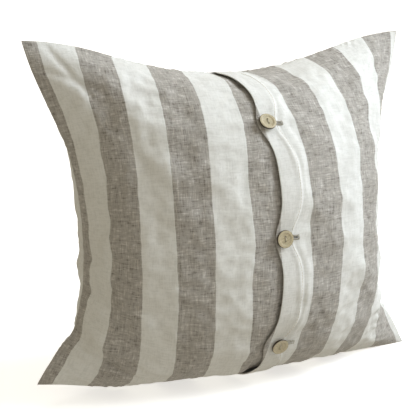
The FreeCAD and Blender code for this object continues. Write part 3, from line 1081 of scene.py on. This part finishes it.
def linen(name):
    """Plain weave linen, white with flax stripes of white and undyed threads crossed."""
    s = Shader(name, 0.88, Sheen_Weight=0.18, Sheen_Roughness=0.5, Specular_IOR_Level=0.25)
    cloth = s.node("ShaderNodeUVMap", uv_map="cloth").outputs[0]
    parts = s.node("ShaderNodeSeparateXYZ")
    s.plug(parts.inputs[0], cloth)
    x, y = parts.outputs[0], parts.outputs[1]

    wander = s.noise(cloth, (60, 60, 1), 2)
    fray = s.noise(cloth, (500, 1400, 1), 2)
    shifted = s.math("ADD", x, s.math("MULTIPLY", s.math("SUBTRACT", wander, 0.5), 0.0022))
    shifted = s.math("ADD", shifted, s.math("MULTIPLY", s.math("SUBTRACT", fray, 0.5), 0.0012))
    from_stripe = s.math("ADD", s.math("SUBTRACT", shifted, LEFT_REMNANT), 20 * STRIPE)
    turns = s.math("FRACT", s.math("DIVIDE", from_stripe, 2 * STRIPE))
    near_start = s.span(turns, 0.0, 0.008)
    near_end = s.span(turns, 0.496, 0.504, 1.0, 0.0)
    white = s.math("MULTIPLY", near_start, near_end)

    long_warp = s.noise(cloth, (1300, 34, 1), 3)
    short_warp = s.noise(cloth, (700, 130, 1), 2)
    long_weft = s.noise(cloth, (34, 1300, 1), 3)
    short_weft = s.noise(cloth, (120, 650, 1), 2)
    coarse_weft = s.noise(cloth, (75, 330, 1), 1)
    coarse_warp = s.noise(cloth, (360, 60, 1), 1)
    mottle = s.noise(cloth, (90, 80, 1), 3)
    grain = s.noise(cloth, (900, 900, 1), 2)
    heather = s.math("MULTIPLY", long_warp, 0.8)
    for threads, amount in ((short_warp, 0.9), (long_weft, 0.8), (short_weft, 1.0), (coarse_weft, 0.8),
                            (coarse_warp, 0.7), (mottle, 0.6), (grain, 0.4)):
        heather = s.math("ADD", heather, s.math("MULTIPLY", threads, amount))
    light_thread = s.span(heather, 3.0, 3.6)
    dark_thread = s.span(heather, 3.0, 2.4)
    flax = s.mix(light_thread, FLAX, FLAX_LIGHT)
    flax = s.mix(dark_thread, flax, FLAX_DARK)
    slub = s.math("MULTIPLY", s.span(s.noise(cloth, (95, 900, 1), 0), 0.70, 0.78),
                  s.span(s.noise(cloth, (40, 200, 1), 0), 0.5, 0.6))
    warp_slub = s.span(s.noise(cloth, (950, 70, 1), 0), 0.72, 0.8)
    slubs = s.math("MAXIMUM", slub, warp_slub)
    flax = s.mix(s.math("MULTIPLY", slubs, 0.6), flax, (0.66, 0.62, 0.56, 1))
    bright = s.mix(s.span(heather, 2.5, 3.3, 1.0, 0.0), WHITE, WHITE_SHADE)
    bright = s.mix(s.math("MULTIPLY", slubs, 0.35), bright, (0.92, 0.92, 0.90, 1))
    base = s.mix(white, flax, bright)
    worn = s.noise(cloth, (14, 11, 1), 3)
    base = s.mix(s.span(worn, 0.3, 0.8, 0.0, 0.16), base, (0.80, 0.77, 0.70, 1), "MULTIPLY")
    s.colour(base)

    warp = s.math("ABSOLUTE", s.math("SINE", s.math("MULTIPLY", x, pi / THREAD)))
    weft = s.math("ABSOLUTE", s.math("SINE", s.math("MULTIPLY", y, pi / THREAD)))
    column, row = (s.math("FLOOR", s.math("DIVIDE", along, THREAD)) for along in (x, y))
    over = s.math("FLOORED_MODULO", s.math("ADD", column, row), 2.0)
    under = s.math("SUBTRACT", 1.0, over)
    height = s.math("ADD", s.math("MULTIPLY", warp, over), s.math("MULTIPLY", weft, under))
    height = s.math("ADD", s.math("MULTIPLY", height, 0.35), s.math("MULTIPLY", heather, 0.45))
    height = s.math("ADD", height, s.math("MULTIPLY", slubs, 0.5))
    s.bump(height, 0.00035, 0.75)
    return s.material


def plain_cloth(name, colour, shade):
    """Close plain cotton ticking."""
    s = Shader(name, 0.9, Sheen_Weight=0.1)
    cloth = s.node("ShaderNodeUVMap", uv_map="cloth").outputs[0]
    weave = s.math("ADD", s.noise(cloth, (2000, 120, 1)), s.noise(cloth, (120, 2000, 1)))
    s.colour(s.mix(s.span(weave, 0.7, 1.3), shade, colour))
    s.bump(weave, 0.0002)
    return s.material


def fluff(name):
    """Matted white fibre."""
    s = Shader(name, 1.0, Subsurface_Weight=0.1)
    place = s.node("ShaderNodeTexCoord").outputs["Object"]
    tangle = s.noise(place, (160, 160, 160), 5, 1.5)
    s.colour(s.mix(s.span(tangle, 0.3, 0.7), (0.74, 0.73, 0.70, 1), (0.92, 0.92, 0.90, 1)))
    s.bump(tangle, 0.003)
    return s.material


def thread(name, light, dark):
    """Twisted sewing thread."""
    s = Shader(name, 0.7, Sheen_Weight=0.2)
    place = s.node("ShaderNodeTexCoord").outputs["Object"]
    twist = s.noise(place, (2600, 2600, 2600), 2)
    patch = s.noise(place, (120, 120, 120), 1)
    fibre = s.mix(s.span(twist, 0.35, 0.65), dark, light)
    s.colour(s.mix(s.span(patch, 0.3, 0.7, 0.0, 0.3), fibre, dark))
    s.bump(twist, 0.0001)
    return s.material


def coconut(name, seed):
    """Coconut shell, turned: olive tan face with dark fibres, and painted shade: the rounded rim darkened to
    a near-black brown all round, above and below its widest point.
    """
    s = Shader(name, 0.42, Specular_IOR_Level=0.45, Coat_Weight=0.12, Coat_Roughness=0.3)
    face = s.node("ShaderNodeUVMap", uv_map="turned").outputs[0]
    turned = s.node("ShaderNodeMapping")
    turned.inputs["Rotation"].default_value = (0, 0, seed * 1.3)
    turned.inputs["Location"].default_value = (seed * 0.37, seed * 0.21, 0)
    s.plug(turned.inputs["Vector"], face)
    grain = s.noise(turned.outputs[0], (180, 900, 1), 4, 0.8)
    cloud = s.noise(turned.outputs[0], (150, 210, 1), 2)
    fleck = s.span(s.noise(turned.outputs[0], (600, 2600, 1), 1), 0.62, 0.72)
    length = s.node("ShaderNodeVectorMath", operation="LENGTH")
    s.plug(length.inputs[0], face)
    away = length.outputs["Value"]
    tan = s.mix(s.span(grain, 0.3, 0.7), (0.36, 0.30, 0.19, 1), (0.56, 0.48, 0.32, 1))
    tan = s.mix(s.span(cloud, 0.3, 0.75, 0.0, 0.55), tan, (0.45, 0.41, 0.27, 1))
    tan = s.mix(s.math("MULTIPLY", fleck, 0.6), tan, (0.10, 0.065, 0.03, 1))
    ring = s.math("MULTIPLY", s.span(away, 0.0072, 0.0082), s.span(away, 0.0093, 0.0086))
    tan = s.mix(s.math("MULTIPLY", ring, 0.35), tan, (0.58, 0.50, 0.33, 1))
    # painted shade: the rounded rim is darkened to a near-black brown all round
    edge = s.span(away, 0.00945, 0.00985)
    s.colour(s.mix(edge, tan, (0.035, 0.022, 0.014, 1)))
    s.plug(s.surface.inputs["Roughness"], s.span(grain, 0.3, 0.8, 0.36, 0.6))
    s.bump(s.math("ADD", grain, fleck), 0.00012)
    return s.material


def stage_surface(name, colour, glow):
    """Pale matte paper, glowing a little more away from the pillow, for the floor and the backdrop."""
    s = Shader(name, 0.95)
    place = s.node("ShaderNodeTexCoord").outputs["Object"]
    shade = tuple(c * 0.985 for c in colour[:3]) + (1,)
    s.colour(s.mix(s.span(s.noise(place, (6, 6, 6)), 0.3, 0.7), colour, shade))
    length = s.node("ShaderNodeVectorMath", operation="LENGTH")
    s.plug(length.inputs[0], place)
    s.plug(s.surface.inputs["Emission Color"], (1, 1, 1, 1))
    s.plug(s.surface.inputs["Emission Strength"], s.span(length.outputs["Value"], 0.3, 2.2, glow, 1.0))
    return s.material


# ---------------------------------------------------------------- make the pillow

striped = linen("linen_stripes")
cream = thread("cream_thread", (0.80, 0.76, 0.66, 1), (0.52, 0.47, 0.37, 1))
sewing = thread("sewing_thread", (0.72, 0.70, 0.65, 1), (0.40, 0.37, 0.32, 1))
left_panel(striped)
right_panel(striped)
whole_sheet("cover_back", 1, striped, "linen", "cover_back_panel")
seam_stitches(sewing)
hem_stitches(cream)
buttonhole_stitches(sewing)
inner_sheets(plain_cloth("ticking_cloth", (0.82, 0.81, 0.77, 1), (0.66, 0.65, 0.60, 1)))
filling_body(fluff("polyester_fibre"))
for number, place in enumerate(PLACES):
    button_piece(place, coconut("coconut_" + place, number + 1))
    button_threads(place, cream)
    button_shank(place, cream)

# ---------------------------------------------------------------- floor, light and camera

def stage_piece(name, points, faces, material):
    """A plain surface of the studio, which isn't part of the pillow."""
    mesh = bpy.data.meshes.new(name)
    mesh.from_pydata(points, [], faces)
    mesh.materials.append(material)
    piece = bpy.data.objects.new(name, mesh)
    bpy.context.collection.objects.link(piece)
    return piece


def studio(paper, wall_paper):
    """A pale floor, and far behind it a round pale wall that gives the pillow no light."""
    half = 5.0
    corners = [(-half, -half, FLOOR), (half, -half, FLOOR), (half, half, FLOOR), (-half, half, FLOOR)]
    floor = stage_piece("studio_floor", corners, [(0, 1, 2, 3)], paper)
    floor.visible_diffuse = False
    count = 48
    ring = [(half * cos(tau * k / count), half * sin(tau * k / count)) for k in range(count)]
    points = [(x, y, z) for z in (-2.0, 9.0) for x, y in ring]
    wall = stage_piece("studio_wall", points, tube_walls(count), wall_paper)
    wall.visible_diffuse = False
    wall.visible_glossy = False
    wall.visible_shadow = False


def area_light(name, azimuth, elevation, size, power, colour):
    """A soft square light 2 m from the pillow, aimed at it; azimuth 0 is in front, 90 to the right."""
    lamp_away = 2
    light = bpy.data.lights.new(name, "AREA")
    light.shape = "SQUARE"
    light.size = size
    light.energy = power
    light.color = colour
    lamp = bpy.data.objects.new(name, light)
    a, e = radians(azimuth), radians(elevation)
    way = Vector((sin(a) * cos(e), -cos(a) * cos(e), sin(e)))
    lamp.location = Vector((0, 0, 0.2)) + way * lamp_away
    lamp.rotation_euler = way.to_track_quat("Z", "Y").to_euler()
    bpy.context.collection.objects.link(lamp)


def photo_camera():
    """The photograph's view: from the front left, a little above, tipped 2 degrees."""
    azimuth, elevation, roll = radians(-25), radians(7.5), radians(-2)
    distance = 1.31
    aim = Vector((-0.027, 0, 0.202))
    back = Vector((sin(azimuth) * cos(elevation), -cos(azimuth) * cos(elevation), sin(elevation)))
    level = Vector((cos(azimuth), sin(azimuth), 0))
    raised = back.cross(level)
    right = level * cos(roll) + raised * sin(roll)
    up = back.cross(right)
    data = bpy.data.cameras.new("camera")
    data.sensor_width = 36
    data.lens = 95.5
    camera = bpy.data.objects.new("camera", data)
    bpy.context.collection.objects.link(camera)
    turned = Matrix((right, up, back)).transposed().to_4x4()
    camera.matrix_world = Matrix.Translation(aim + back * distance) @ turned
    bpy.context.scene.camera = camera


FLOOR = -0.0004             # a hair below the pillow
studio(stage_surface("floor_paper", (0.92, 0.92, 0.92, 1), 0.55),
       stage_surface("wall_paper", (0.9, 0.9, 0.9, 1), 1.0))
area_light("key", 62, 36, 1.2, 42, (0.87, 0.94, 1.0))
area_light("front_fill", 5, 3, 2.2, 7.5, (0.93, 0.97, 1.0))
area_light("back_light", 165, 55, 1.6, 10, (1.0, 0.98, 0.95))
world = bpy.data.worlds.new("studio")
world.use_nodes = True
world.node_tree.nodes["Background"].inputs[0].default_value = (1.0, 0.90, 0.69, 1)
world.node_tree.nodes["Background"].inputs[1].default_value = 0.40
bpy.context.scene.world = world
bpy.context.scene.view_settings.view_transform = "Standard"
photo_camera()
